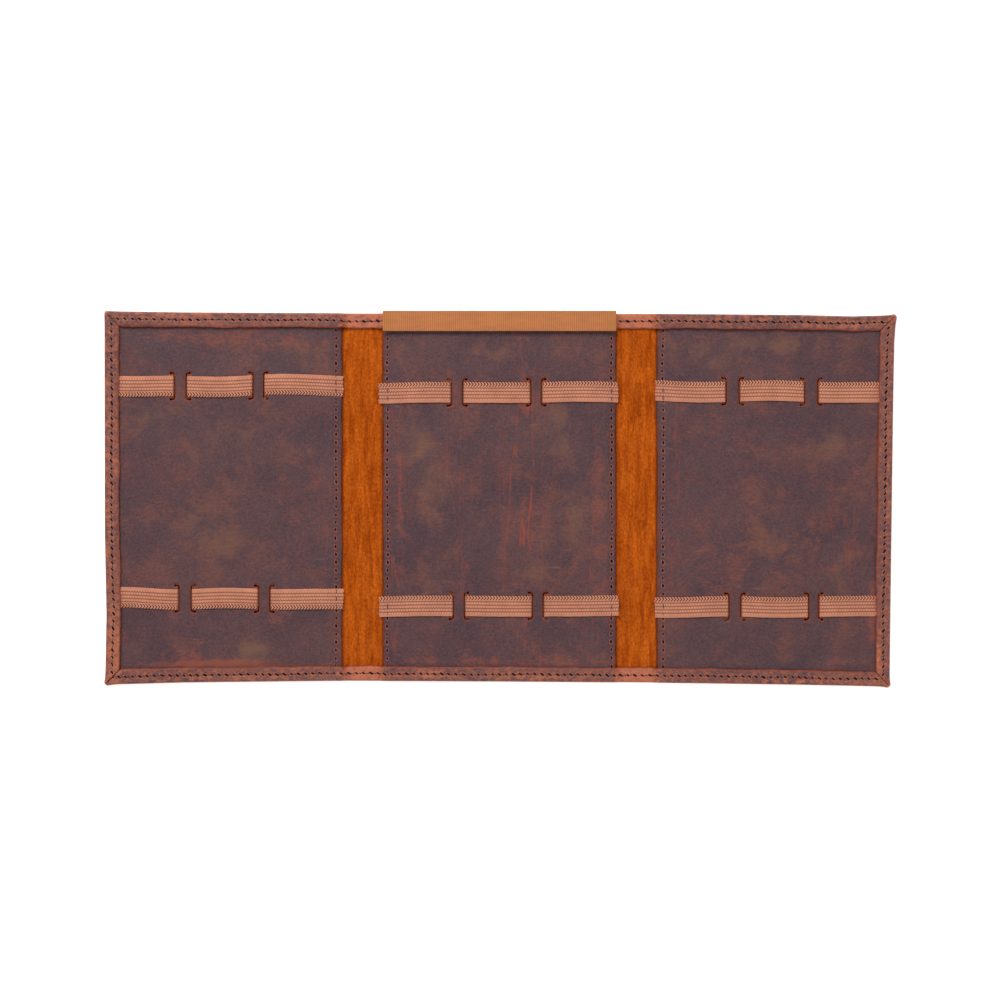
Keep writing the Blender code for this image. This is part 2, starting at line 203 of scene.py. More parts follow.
class Shader:
    """Short names for the nodes of one material."""

    def __init__(self, name, roughness, specular=0.3, sheen=0.0):
        self.material = bpy.data.materials.new(name)
        self.material.use_nodes = True
        self.tree = self.material.node_tree
        self.surface = self.tree.nodes["Principled BSDF"]
        self.surface.inputs["Roughness"].default_value = roughness
        self.surface.inputs["Specular IOR Level"].default_value = specular
        if sheen:
            self.surface.inputs["Sheen Weight"].default_value = sheen
            self.surface.inputs["Sheen Roughness"].default_value = 0.6

    def put(self, socket, value):
        if isinstance(value, bpy.types.NodeSocket):
            self.tree.links.new(value, socket)
        else:
            socket.default_value = value

    def node(self, kind, **inputs):
        node = self.tree.nodes.new(kind)
        for name, value in inputs.items():
            self.put(node.inputs[name.replace("_", " ")], value)
        return node

    def attribute(self, name, output="Fac"):
        node = self.tree.nodes.new("ShaderNodeAttribute")
        node.attribute_name = name
        return node.outputs[output]

    def rest(self, x=1.0, y=1.0, z=1.0):
        """The place at rest in millimetres, with each axis scaled."""
        node = self.tree.nodes.new("ShaderNodeVectorMath")
        node.operation = "MULTIPLY"
        self.put(node.inputs[0], self.attribute("rest", "Vector"))
        node.inputs[1].default_value = (x, y, z)
        return node.outputs[0]

    def math(self, operation, first, second=0.0, clamp=False):
        node = self.tree.nodes.new("ShaderNodeMath")
        node.operation = operation
        node.use_clamp = clamp
        self.put(node.inputs[0], first)
        self.put(node.inputs[1], second)
        return node.outputs[0]

    def times(self, first, *others):
        for other in others:
            first = self.math("MULTIPLY", first, other)
        return first

    def plus(self, first, second):
        return self.math("ADD", first, second)

    def off_middle(self, value):
        """How far a share between 0 and 1 lies from one half."""
        return self.math("ABSOLUTE", self.math("SUBTRACT", value, 0.5))

    def stripes(self, value, pitch=1.0):
        """0 in the middle of every pitch of value, and 0.5 at its ends."""
        steps = value if pitch == 1.0 else self.math("DIVIDE", value, pitch)
        return self.off_middle(self.math("FRACT", steps))

    def parts(self, name):
        """The three numbers of a vector attribute."""
        return self.node("ShaderNodeSeparateXYZ", Vector=self.attribute(name, "Vector")).outputs

    def speckle(self, colour, grain, reach, low, high, share):
        """colour with a fine grain laid over it, from the tint low to the tint high."""
        speck = self.mix(self.step(grain, 0.5 - reach, 0.5 + reach), (*low, 1), (*high, 1))
        return self.mix(share, colour, speck, "MULTIPLY")

    def noise(self, vector, size, detail=3.0, roughness=0.55, distortion=0.0):
        """Noise whose features are about size millimetres across."""
        node = self.node("ShaderNodeTexNoise", Vector=vector, Scale=1 / size, Detail=detail)
        node.inputs["Roughness"].default_value = roughness
        node.inputs["Distortion"].default_value = distortion
        return node.outputs["Fac"]

    def pores(self, vector, size):
        """Soft-edged cells of about size millimetres."""
        node = self.tree.nodes.new("ShaderNodeTexVoronoi")
        node.feature = "SMOOTH_F1"
        self.put(node.inputs["Vector"], vector)
        node.inputs["Scale"].default_value = 1 / size
        return node.outputs["Distance"]

    def step(self, value, low, high, to_low=0.0, to_high=1.0):
        """value from low..high to to_low..to_high, smoothly, and no further."""
        node = self.tree.nodes.new("ShaderNodeMapRange")
        node.interpolation_type = "SMOOTHSTEP"
        for index, number in enumerate((value, low, high, to_low, to_high)):
            self.put(node.inputs[index], number)
        return node.outputs[0]

    def mix(self, share, first, second, blend="MIX"):
        node = self.tree.nodes.new("ShaderNodeMix")
        node.data_type = "RGBA"
        node.blend_type = blend
        self.put(node.inputs[0], share)
        self.put(node.inputs[6], first)
        self.put(node.inputs[7], second)
        return node.outputs[2]

    def bump(self, height, distance, strength=1.0, under=None):
        """A bump of about distance millimetres, on top of another."""
        node = self.node("ShaderNodeBump", Height=height, Strength=strength, Distance=distance * MM)
        if under:
            self.put(node.inputs["Normal"], under)
        return node.outputs[0]

    def finish(self, colour, normal, roughness=None):
        self.put(self.surface.inputs["Base Color"], colour)
        self.put(self.surface.inputs["Normal"], normal)
        if roughness:
            self.put(self.surface.inputs["Roughness"], roughness)
        return self.material


def stitch_marks(shader, stitch, slant, long_half, wide_half):
    """(hole, rim) masks of a row of awl holes. stitch is holes along, mm across and the rim's share."""
    along, across, rim_share = stitch
    cell = shader.math("ROUND", along)
    local = shader.times(shader.math("SUBTRACT", along, cell), PITCH)
    white = shader.tree.nodes.new("ShaderNodeTexWhiteNoise")
    white.noise_dimensions = "1D"
    shader.put(white.inputs["W"], cell)
    size = shader.step(white.outputs["Value"], 0.0, 1.0, 0.88, 1.15)
    leaned = shader.plus(across, shader.times(local, slant))
    squares = [
        shader.math("POWER", shader.math("ABSOLUTE", shader.math("DIVIDE", value, half)), 2.0)
        for value, half in ((local, long_half), (leaned, wide_half))
    ]
    reach = shader.math("DIVIDE", shader.math("SQRT", shader.plus(*squares)), size)
    rough = shader.step(shader.noise(shader.rest(), 0.7), 0.3, 0.7, -0.15, 0.15)
    reach = shader.plus(reach, rough)
    hole = shader.step(reach, 1.12, 0.95)
    rim = shader.times(shader.step(reach, 2.0, 1.1), rim_share)
    return hole, rim


def leather(name, dark, mid, red, worn, patches, slant, long_half, wide_half, rim_share):
    """Waxed pull-up leather, from colours and the size and share of its patches.

    The mesh carries the masks wear, tan, crease, cut and dark, and the places of the stitch holes. The dark
    mask and the holes are painted near black: painted shade in the mitre seams and in awl holes that the mesh
    doesn't cut.
    """
    shader = Shader(name, 0.5, specular=0.2)
    place = shader.rest()
    size, share = patches
    cloud = shader.noise(place, 40, detail=5, roughness=0.55, distortion=0.4)
    patch = shader.noise(place, size, detail=5, roughness=0.66, distortion=0.3)
    grit = shader.noise(place, 1.1, detail=3, roughness=0.7)
    colour = shader.mix(shader.step(cloud, 0.32, 0.68), dark, mid)
    stitch = shader.parts("stitch")
    on_hem = shader.step(stitch[2], 0.6, 0.9, 0.3, share)
    mottled = shader.times(shader.step(patch, 0.40, 0.66), on_hem)
    colour = shader.mix(mottled, colour, red)
    fine = shader.noise(shader.rest(0.35, 1.0, 1.0), 1.3, detail=3, roughness=0.6, distortion=0.6)
    colour = shader.mix(shader.step(fine, 0.45, 0.7, 0.0, 0.35), colour, red)
    colour = shader.speckle(colour, grit, 0.2, (0.74, 0.72, 0.74), (1.26, 1.28, 1.26), 0.85)

    wear = shader.plus(shader.attribute("wear"), shader.step(patch, 0.35, 0.65, -0.25, 0.25))
    wear = shader.plus(wear, shader.step(fine, 0.35, 0.65, -0.2, 0.16))
    wear = shader.times(shader.step(wear, 0.0, 1.1), shader.step(grit, 0.2, 0.6, 0.6, 1.0))
    colour = shader.mix(wear, colour, worn)
    tan = shader.plus(shader.attribute("tan"), shader.step(patch, 0.35, 0.65, -0.3, 0.3))
    tan = shader.times(shader.step(tan, 0.0, 1.2), 0.7)
    colour = shader.mix(tan, colour, srgb(122, 88, 68))

    lines = shader.noise(shader.rest(1.0, 0.09, 1.0), 7, detail=2, roughness=0.5, distortion=0.25)
    line = shader.step(shader.off_middle(lines), 0.03, 0.0)
    broken = shader.step(shader.noise(place, 13, detail=3), 0.36, 0.52)
    line = shader.times(line, broken, shader.attribute("crease"))
    colour = shader.mix(shader.times(line, 0.8), colour, srgb(150, 68, 52))

    hair = shader.noise(shader.rest(0.06, 1.0, 1.0), 3.2, detail=1.5, roughness=0.4, distortion=0.8)
    hair = shader.step(shader.off_middle(hair), 0.008, 0.0)
    faint = shader.step(shader.noise(place, 17, detail=2), 0.48, 0.64, 0.0, 0.6)
    hair = shader.times(hair, faint)
    colour = shader.mix(hair, colour, srgb(128, 88, 76))

    hole, rim = stitch_marks(shader, stitch, slant, long_half, wide_half)
    colour = shader.mix(shader.times(rim, rim_share), colour, srgb(196, 104, 74))
    cut = shader.times(shader.step(shader.attribute("cut"), 0.1, 0.75), 0.92)
    colour = shader.mix(cut, colour, srgb(140, 58, 28))
    # Painted shade: the awl holes and the dark mask of the mitre seams go near black, as if shaded inside.
    gap = shader.math("MAXIMUM", shader.attribute("dark"), hole, clamp=True)
    colour = shader.mix(gap, colour, srgb(14, 6, 5))

    height = shader.plus(shader.pores(place, 0.75), shader.times(grit, 0.8))
    normal = shader.bump(height, 0.07, 0.55)
    dents = shader.noise(place, 5, detail=3)
    normal = shader.bump(dents, 0.5, 0.35, normal)
    sunk = shader.math("MAXIMUM", hole, line)
    normal = shader.bump(shader.math("SUBTRACT", 1.0, sunk), 0.25, 0.6, normal)
    rough = shader.step(patch, 0.3, 0.7, 0.45, 0.62)
    rough = shader.plus(rough, shader.times(gap, 0.3))
    return shader.finish(colour, normal, rough)


def suede():
    """The raw flesh side: napped, with soft lengthwise streaks, and painted shade along its edges and under
    the hem.
    """
    shader = Shader("suede_flesh_side", 0.95, specular=0.03, sheen=0.05)
    place = shader.rest()
    streak = shader.noise(shader.rest(1.0, 0.14, 1.0), 3.0, detail=4, roughness=0.62, distortion=0.7)
    cloud = shader.noise(place, 14, detail=4, roughness=0.6)
    nap = shader.noise(shader.rest(1.0, 0.6, 1.0), 1.1, detail=4, roughness=0.75)
    colour = shader.mix(shader.step(streak, 0.3, 0.7), srgb(148, 60, 2), srgb(190, 90, 16))
    colour = shader.mix(shader.step(cloud, 0.42, 0.75, 0.0, 0.4), colour, srgb(192, 96, 28))
    colour = shader.speckle(colour, nap, 0.18, (0.68, 0.64, 0.55), (1.30, 1.30, 1.30), 0.9)
    # Painted shade: the dark mask darkens the strip's edges and the band under the hem.
    colour = shader.mix(shader.attribute("dark"), colour, srgb(96, 34, 6))
    normal = shader.bump(nap, 0.22, 0.7)
    normal = shader.bump(streak, 0.5, 0.35, normal)
    return shader.finish(colour, normal)


def elastic():
    """Woven strap elastic. The weave attribute holds mm along, mm across, and 1 on the zigzag rows."""
    shader = Shader("woven_strap_elastic", 0.75, specular=0.2, sheen=0.1)
    along, across, zigzag = shader.parts("weave")
    row = shader.math("DIVIDE", across, RIB)
    groove = shader.step(shader.stripes(row), 0.2, 0.4)
    groove = shader.times(groove, shader.step(across, -5.2, -4.6))
    parity = shader.times(shader.math("MODULO", shader.math("FLOOR", row), 2.0), 0.5)
    pick = shader.plus(shader.math("DIVIDE", along, PICK), parity)
    knot = shader.step(shader.stripes(pick), 0.2, 0.5)
    from_middle = shader.math("ABSOLUTE", shader.math("SUBTRACT", across, ZIG_MIDDLE))
    slope = shader.plus(along, shader.times(from_middle, ZIG_LEAN))
    zig = shader.step(shader.stripes(slope, ZIG), 0.18, 0.42)
    groove_knot = shader.times(groove, shader.step(knot, 0.0, 1.0, 0.4, 1.0))
    plain = shader.math("MAXIMUM", groove_knot, shader.times(knot, 0.34))
    low = shader.node("ShaderNodeMix", Factor=zigzag)
    shader.put(low.inputs[2], plain)
    shader.put(low.inputs[3], zig)
    low = low.outputs[0]
    fibre = shader.noise(shader.attribute("weave", "Vector"), 0.35, detail=3, roughness=0.7)
    cloud = shader.noise(shader.rest(), 9, detail=3)
    colour = shader.mix(shader.step(cloud, 0.3, 0.7), srgb(198, 129, 101), srgb(212, 140, 110))
    # The weave's pattern is drawn as painted shade: its grooves, dips and zigzag rows, which the bump sinks,
    # go near black.
    colour = shader.mix(low, colour, srgb(58, 22, 16))
    colour = shader.speckle(colour, fibre, 0.25, (0.78, 0.76, 0.76), (1.18, 1.19, 1.19), 0.8)
    # Painted shade where the strap runs under the panel.
    colour = shader.mix(shader.attribute("dark"), colour, srgb(70, 30, 20))
    normal = shader.bump(shader.math("SUBTRACT", 1.0, low), 0.16, 0.8)
    normal = shader.bump(fibre, 0.06, 0.5, normal)
    return shader.finish(colour, normal)


def band_elastic():
    """The wide closure band: fine ribs across its width. The weave holds mm along, mm across, end."""
    shader = Shader("closure_band_elastic", 0.75, specular=0.2, sheen=0.1)
    along, across, end = shader.parts("weave")
    rib = shader.step(shader.stripes(along, BAND_RIB), 0.15, 0.5)
    thread = shader.step(shader.stripes(across, BAND_THREAD), 0.2, 0.5)
    fibre = shader.noise(shader.attribute("weave", "Vector"), 0.4, detail=3, roughness=0.7)
    cloud = shader.noise(shader.rest(0.3, 1.0, 1.0), 3.5, detail=4, roughness=0.6)
    colour = shader.mix(shader.step(cloud, 0.36, 0.64), srgb(202, 127, 74), srgb(190, 120, 74))
    colour = shader.mix(shader.times(end, 0.6), colour, srgb(188, 122, 60))
    # Painted shade in the grooves between the ribs, which the bump sinks.
    colour = shader.mix(shader.times(rib, 0.55), colour, srgb(128, 70, 36))
    colour = shader.mix(shader.times(thread, 0.16), colour, srgb(150, 88, 46))
    colour = shader.speckle(colour, fibre, 0.25, (0.84, 0.84, 0.84), (1.14, 1.14, 1.12), 0.8)
    normal = shader.bump(shader.math("SUBTRACT", 1.0, rib), 0.12, 0.7)
    normal = shader.bump(fibre, 0.06, 0.5, normal)
    return shader.finish(colour, normal)


def waxed_thread():
    """Twisted waxed thread."""
    shader = Shader("waxed_thread", 0.6, specular=0.35)
    ply = shader.noise(shader.rest(), 0.35, detail=2)
    colour = shader.mix(shader.step(ply, 0.3, 0.7), srgb(56, 42, 48), srgb(104, 82, 86))
    return shader.finish(colour, shader.bump(ply, 0.1, 0.6))


def board():
    """Uncoated board, fibrous and a little speckled, with broad near-black patches of painted shade so that
    it looks dark through the slots.
    """
    shader = Shader("stiffener_board", 0.9, specular=0.2)
    place = shader.node("ShaderNodeTexCoord").outputs["Object"]
    fibre = shader.noise(place, 0.0012, detail=4, roughness=0.7)
    cloud = shader.noise(place, 0.02, detail=3)
    colour = shader.mix(shader.step(fibre, 0.3, 0.7), srgb(168, 146, 118), srgb(206, 190, 164))
    colour = shader.mix(shader.step(cloud, 0.4, 0.8, 0.0, 0.5), colour, srgb(134, 106, 78))
    # Painted shade: broad near-black patches, so the board seen through the slots looks dark inside them.
    slot_shade = shader.step(shader.noise(place, 0.003, detail=2), 0.62, 0.52)
    colour = shader.mix(slot_shade, colour, srgb(52, 30, 22))
    return shader.finish(colour, shader.bump(fibre, 0.08, 0.5))


COVER = leather("cover_leather_waxed", srgb(92, 64, 68), srgb(118, 78, 74), srgb(152, 88, 66),
                srgb(196, 112, 80), (3.4, 0.75), 0.45, 1.1, 0.62, 0.5)
PANEL = leather("panel_leather_waxed", srgb(76, 56, 62), srgb(90, 63, 65), srgb(106, 60, 58),
                srgb(138, 74, 60), (18, 0.34), 0.1, 0.88, 0.6, 0.7)
SUEDE = suede()
STRAP = elastic()
BAND = band_elastic()
THREAD = waxed_thread()
BOARD = board()


# ---------------------------------------------------------------- mesh helpers


def new_object(name, data):
    """An object in the scene."""
    made = bpy.data.objects.new(name, data)
    bpy.context.scene.collection.objects.link(made)
    return made


def vectors(*arrays):
    """One vector for each point of a grid, from arrays that cover it, its rows or its columns."""
    return np.stack(np.broadcast_arrays(*arrays), -1).reshape(-1, len(arrays))


def grid_faces(rows, columns, flip=False):
    """Quads of a grid of points stored row by row."""
    index = np.arange(rows * columns).reshape(rows, columns)
    quads = np.stack([index[:-1, :-1], index[:-1, 1:], index[1:, 1:], index[1:, :-1]], -1).reshape(-1, 4)
    return (quads[:, ::-1] if flip else quads).tolist()


def set_values(mesh, key, value):
    """Stores a number or a vector for each point of a mesh."""
    wide = value.ndim == 2
    layer = mesh.attributes.new(key, "FLOAT_VECTOR" if wide else "FLOAT", "POINT")
    layer.data.foreach_set("vector" if wide else "value", value.ravel())


def add_piece(name, points, faces, material, attributes=None, merge=False, thickness=0.0):
    """A smooth mesh from points in millimetres, with its rest place and its other point attributes."""
    mesh = bpy.data.meshes.new(name)
    mesh.from_pydata((points * MM).tolist(), [], faces)
    mesh.materials.append(material)
    values = {"rest": points, **(attributes or {})}
    for key, value in values.items():
        set_values(mesh, key, np.asarray(value, np.float32))
    if merge:
        work = bmesh.new()
        work.from_mesh(mesh)
        bmesh.ops.remove_doubles(work, verts=work.verts, dist=0.005 * MM)
        work.to_mesh(mesh)
        work.free()
    if thickness:
        mesh = thickened(mesh, thickness, values)
    mesh.shade_smooth()
    mesh.update()
    return new_object(name, mesh)


def thickened(sheet, thickness, values):
    """A closed copy of an open sheet: its back lies thickness below, joined by square-cut walls."""
    count = len(sheet.vertices)
    place, normal = np.zeros(count * 3), np.zeros(count * 3)
    sheet.vertices.foreach_get("co", place)
    sheet.vertex_normals.foreach_get("vector", normal)
    place, normal = place.reshape(-1, 3), normal.reshape(-1, 3)
    front = [list(face.vertices) for face in sheet.polygons]
    uses = {}
    for face in front:
        for first, second in zip(face, face[1:] + face[:1]):
            key = (min(first, second), max(first, second))
            uses.setdefault(key, []).append((first, second))
    rim = [pairs[0] for pairs in uses.values() if len(pairs) == 1]
    back = [[index + count for index in face[::-1]] for face in front]
    walls = [[second, first, first + count, second + count] for first, second in rim]
    mesh = bpy.data.meshes.new(sheet.name)
    both = np.concatenate([place, place - normal * thickness * MM])
    mesh.from_pydata(both.tolist(), [], front + back + walls)
    mesh.materials.append(sheet.materials[0])
    for key in values:
        old = sheet.attributes[key]
        wide = old.data_type == "FLOAT_VECTOR"
        numbers = np.zeros(count * (3 if wide else 1), np.float32)
        old.data.foreach_get("vector" if wide else "value", numbers)
        twice = np.tile(numbers, 2)
        set_values(mesh, key, twice.reshape(-1, 3) if wide else twice)
    corners = {tuple(sorted(pair)) for pair in rim}
    corners |= {(first + count, second + count) for first, second in corners}
    for edge in mesh.edges:
        if tuple(sorted(edge.vertices)) in corners:
            edge.use_edge_sharp = True
    bpy.data.meshes.remove(sheet)
    return mesh


def blotches(x, y, spots):
    """Soft oval spots, each (X, Y, half length, half width, turn in degrees, strength)."""
    total = np.zeros_like(x)
    for cx, cy, length, width, turn, strength in spots:
        angle = math.radians(turn)
        along = (x - cx) * math.cos(angle) + (y - cy) * math.sin(angle)
        across = (y - cy) * math.cos(angle) - (x - cx) * math.sin(angle)
        total = np.maximum(total, strength * np.exp(-((along / length) ** 2) - (across / width) ** 2))
    return total


# ---------------------------------------------------------------- stitching rows


def seam_count(t, seed, pitch=PITCH):
    """How many holes along a row t lies, with a hand sewer's uneven spacing."""
    return t / pitch + 0.07 * waves(t, seed, 14, 60)


def seam_sway(t, seed):
    """How far a row wanders sideways at t, in mm."""
    return 0.22 * waves(t, seed + 100, 25, 120)


def hole_places(low, high, seed, pitch=PITCH):
    """Where the holes of a row from low to high lie."""
    fine = np.linspace(low, high, 4000)
    count = seam_count(fine, seed, pitch)
    wanted = np.arange(math.ceil(count[0]), math.floor(count[-1]) + 1)
    return np.interp(wanted, count, fine)


def dimple(along, across):
    """How deep the leather is pulled in round a hole."""
    local = (along - np.round(along)) * PITCH
    return 0.32 * np.exp(-((local / 0.85) ** 2) - (across / 0.75) ** 2)


def add_thread(name, runs):
    """Separate stitches: each run is a list of (start, end) points that a stitch joins, with its arc."""
    sides, rings = 7, 9
    turn = np.linspace(0, 2 * math.pi, sides, endpoint=False)
    points, faces, offset = [], [], 0
    for start, end in runs:
        start, end = np.array(start, float), np.array(end, float)
        start, end = start + 0.22 * (end - start), end - 0.22 * (end - start)
        way = end - start
        length = np.linalg.norm(way[:2])
        side = np.array([-way[1], way[0], 0]) / length
        t = np.linspace(0, 1, rings)
        middle = start + way * t[:, None]
        middle[:, 2] += 0.42 * np.sin(math.pi * t) ** 0.6 - 0.34
        thick = 0.24 * (0.7 + 0.3 * np.sin(math.pi * t))
        ring = middle[:, None, :] + thick[:, None, None] * (
            np.cos(turn)[None, :, None] * side + np.sin(turn)[None, :, None] * np.array([0, 0, 0.8])
        )
        points.append(ring.reshape(-1, 3))
        index = np.arange(rings * sides).reshape(rings, sides) + offset
        after = np.roll(index, -1, axis=1)
        quads = np.stack([index[:-1], after[:-1], after[1:], index[1:]], -1).reshape(-1, 4)
        faces += quads.tolist()
        faces.append(index[0][::-1].tolist())
        faces.append(index[-1].tolist())
        offset += rings * sides
    return add_piece(name, np.concatenate(points), faces, THREAD)


# ---------------------------------------------------------------- cover with its turned-over hem


def fold_top(x):
    """Height of the hem: full over the sections, low over the fold strips."""
    u = np.abs(x) - CENTRE_EDGE
    width = FLAP_EDGE - CENTRE_EDGE
    down = smooth(u, -1.8, 4.2) * (1 - smooth(u, width - 4.2, width + 1.8))
    return HEM_TOP - (HEM_TOP - FOLD_HEM_TOP) * down


def wrap_rows():
    """(part, share of the way across it) of each row of the wrap: flat back, rounded edge, hem."""
    back = [("back", share) for share in np.linspace(0, 1, 7)[:-1]]
    edge = [("edge", share) for share in np.linspace(0, 1, 15)]
    hem = [("hem", share) for share in np.linspace(0, 1, 24)[1:]]
    return back + edge + hem


def wrap_point(kind, share, top, raw_edge):
    """(inset from the edge, height) on the wrap where the hem is top mm high."""
    half = top / 2
    bulge = np.minimum(1.5, half)
    if kind == "back":
        return WRAP_BACK + (bulge - WRAP_BACK) * share, np.zeros_like(top)
    if kind == "edge":
        turn = math.pi * (share - 0.5)
        return bulge - bulge * math.cos(turn), half + half * math.sin(turn)
    return bulge + (raw_edge - bulge) * share, top


def wrap_strip(stations, place_on, seed, mitred, lean):
    """Points, masks and number of rows of one hem strip.

    stations are shares from 0 to 1 along the strip. place_on turns (share, inset) into X, Y and the
    distance t along the strip. mitred is 1 where the strip ends in mitres, and lean is the way in
    which its stitches slant.
    """
    rows = wrap_rows()
    points, masks = [], {"stitch": [], "cut": [], "dark": []}
    for kind, share in rows:
        x, y, t = place_on(stations, np.zeros_like(stations))
        raw = HEM_WIDTH + 0.16 * waves(t, seed, 3, 30) + 0.2 * waves(t, seed + 7, 40, 160)
        inset, height = wrap_point(kind, share, fold_top(x), raw)
        x, y, t = place_on(stations, inset)
        across = inset - STITCH_INSET - seam_sway(t, seed)
        count = seam_count(t, seed)
        to_corner = (HALF_WIDTH - np.abs(x)) - (HALF_HEIGHT - np.abs(y))
        mitre = np.exp(-((to_corner / MITRE_HALF) ** 2)) * mitred
        cut = dark = np.zeros_like(x)
        if kind == "hem":
            height = height + 0.10 * rumple(x, y, seed + 3, 11) + 0.05 * rumple(x, y, seed + 4, 3.5)
            height = height - dimple(count, across) - MITRE_DEPTH * mitre
            height = height - 0.35 * smooth(inset, HEM_WIDTH - 1.0, HEM_WIDTH + 0.2)
            cut = smooth(inset, raw - 1.0, raw - 0.25)
            # Painted shade along the mitre seam, stronger at the lower left corner.
            seen = 0.4 + 0.5 * (y < 0) * (x < 0)
            dark = 0.9 * np.clip(mitre * 1.1, 0, 1) * seen * (inset > 1.2)
        elif kind == "edge":
            height = height * (1 + 0.012 * waves(t, seed + 9, 8, 50) * (height > 0.5))
        points.append(vectors(x, y, height))
        masks["stitch"].append(vectors(count * lean, across, 0.6 if kind == "back" else 1.0))
        masks["cut"].append(cut)
        masks["dark"].append(dark)
    return np.concatenate(points), {key: np.concatenate(m) for key, m in masks.items()}, len(rows)


def corner_ears(points):
    """The mitred corners stand out a little where the leather bunches."""
    x, y = points[:, 0], points[:, 1]
    away = np.hypot(HALF_WIDTH - np.abs(x), HALF_HEIGHT - np.abs(y))
    push = 0.75 * np.exp(-((away / 4.0) ** 2)) - 0.7 * np.exp(-((away / 1.1) ** 2))
    push = push * np.where((x < 0) & (y > 0), 0.3, 1.0)
    moved = points.copy()
    moved[:, 0] += np.sign(x) * push
    moved[:, 1] += np.sign(y) * push
    moved[:, 2] *= 1 - 0.25 * np.exp(-((away / 1.8) ** 2))
    return moved


COVER_WEAR = [
    (-234, 0, 5.0, 140, 0, 0.35), (-232, -85, 3.5, 26, 0, 0.95), (-229, -90, 2.5, 36, 0, 0.8),
    (-160, -108, 60, 2.0, 0, 0.35), (-40, -107, 18, 3, 0, 0.6), (20, -108, 30, 2.5, 0, 0.5),
    (-200, 109, 40, 2.0, 0, 0.45), (-120, 108, 30, 2.0, 0, 0.3), (150, 108, 40, 2.0, 0, 0.35),
    (205, 106, 22, 3.0, 0, 0.5), (234, 20, 2.0, 90, 0, 0.35), (229, -95, 3.0, 14, 0, 0.7),
    (190, -109, 40, 2.0, 0, 0.45), (-236, -111, 4, 4, 0, 0.9), (236, -111, 4, 4, 0, 0.9),
    (-236, 111, 4, 4, 0, 0.8), (236, 111, 4, 4, 0, 0.8),
]


def cover_masks(points, masks):
    """Adds the wear of the pull-up leather to a cover's masks."""
    x, y, z = points[:, 0], points[:, 1], points[:, 2]
    inset = np.minimum(HALF_WIDTH - np.abs(x), HALF_HEIGHT - np.abs(y))
    u = np.abs(x) - CENTRE_EDGE
    over_fold = smooth(u, -1.6, 0.8) * (1 - smooth(u, 20.5, 31.0)) * (np.abs(y) > HALF_HEIGHT - HEM_WIDTH - 1)
    rolled = 0.55 * np.exp(-(((inset - 0.3) / 0.8) ** 2))
    wear = np.maximum(blotches(x, y, COVER_WEAR), np.maximum(rolled, 0.86 * over_fold))
    wear = wear * (z > 0.3)
    underside = (z <= 0.3).astype(float)
    wear = wear + underside * 0.18 * (rumple(x, y, 61, 60) > 0.8)
    tan = blotches(x, y, [(-231, -75, 4, 40, 0, 0.6), (232, 60, 4, 40, 0, 0.35), (0, -107, 60, 3, 0, 0.3)])
    return {"wear": wear, "tan": tan, "crease": np.zeros_like(x), **masks}


def stations_for(length, mitres):
    """Shares along a strip: even steps, and finer ones beside a mitre at its start or end."""
    steps = list(np.linspace(0, 1, int(length / 0.55) + 1))
    fine = np.arange(0.18, 2.6, 0.18) / length
    if mitres[0]:
        steps += list(fine)
    if mitres[1]:
        steps += list(1 - fine)
    return np.unique(np.round(steps, 7))


def turned(points, faces, up, offset):
    """The faces, turned over where needed so that the last full one faces up, or down."""
    corner = points[faces[len(faces) // 2 if not up else -1][:3]]
    rises = np.cross(corner[1] - corner[0], corner[2] - corner[0])[2] > 0
    step = 1 if rises == up else -1
    return [[index + offset for index in face[::step]] for face in faces]


def cover_mesh(name, start, end, mitred, thickness, seed):
    """A cover from X = start to X = end, with hems at head and tail, and at end where it is mitred."""
    outward = 1.0 if end > start else -1.0
    shares = stations_for(abs(end - start), (False, mitred))
    all_points, all_masks, faces, offset, strips = [], [], [], 0, []

    def along_x(head):
        def place(share, inset):
            reach = end - outward * inset if mitred else end
            x = start + (reach - start) * share
            return x, head * (HALF_HEIGHT - inset), x
        return place

    def along_y(share, inset):
        half = HALF_HEIGHT - inset
        y = -half + 2 * half * share
        return end - outward * inset, y, y

    jobs = [(shares, along_x(1.0), seed, 1), (shares, along_x(-1.0), seed + 1, -1)]
    if mitred:
        jobs.append((stations_for(2 * HALF_HEIGHT, (True, True)), along_y, seed + 2, 0))
    for stations, place, strip_seed, kind in jobs:
        points, masks, rows = wrap_strip(stations, place, strip_seed, 1.0 if mitred else 0.0, -kind or 1)
        faces += turned(points, grid_faces(rows, len(stations)), up=True, offset=offset)
        strips.append((offset, len(stations)))
        all_points.append(points)
        all_masks.append(masks)
        offset += len(points)
    count = len(shares)
    head, tail = strips[0][0], strips[1][0]
    last = int(np.searchsorted(shares, 1 - RING_INSET / abs(end - start))) if mitred else count - 1
    under = [[head + i, head + i + 1, tail + i + 1, tail + i] for i in range(last)]
    if mitred:
        side_start, side_count = strips[2]
        ring = [head + i for i in range(last, count)]
        ring += [side_start + i for i in range(side_count - 2, 0, -1)]
        ring += [tail + i for i in range(count - 1, last - 1, -1)]
        under.append(ring)
    points = np.concatenate(all_points)
    faces += turned(points, under, up=False, offset=0)
    masks = {key: np.concatenate([m[key] for m in all_masks]) for key in all_masks[0]}
    masks = cover_masks(points, masks)
    placed = handmade(corner_ears(points) if mitred else points)
    return add_piece(name, placed, faces, COVER, masks, merge=True, thickness=thickness)


def hem_stitches(low, high, head, seed):
    """Stitches of the head or tail hem whose middles lie between two X places."""
    holes = hole_places(low - PITCH, high + PITCH, seed)
    y = head * (HALF_HEIGHT - STITCH_INSET - seam_sway(holes, seed))
    places = np.stack([holes, y, fold_top(holes)], -1)
    middle = (holes[:-1] + holes[1:]) / 2
    places = handmade(places)
    pairs = zip(places[:-1], places[1:], middle)
    return [(first, second) for first, second, x in pairs if low <= x < high]


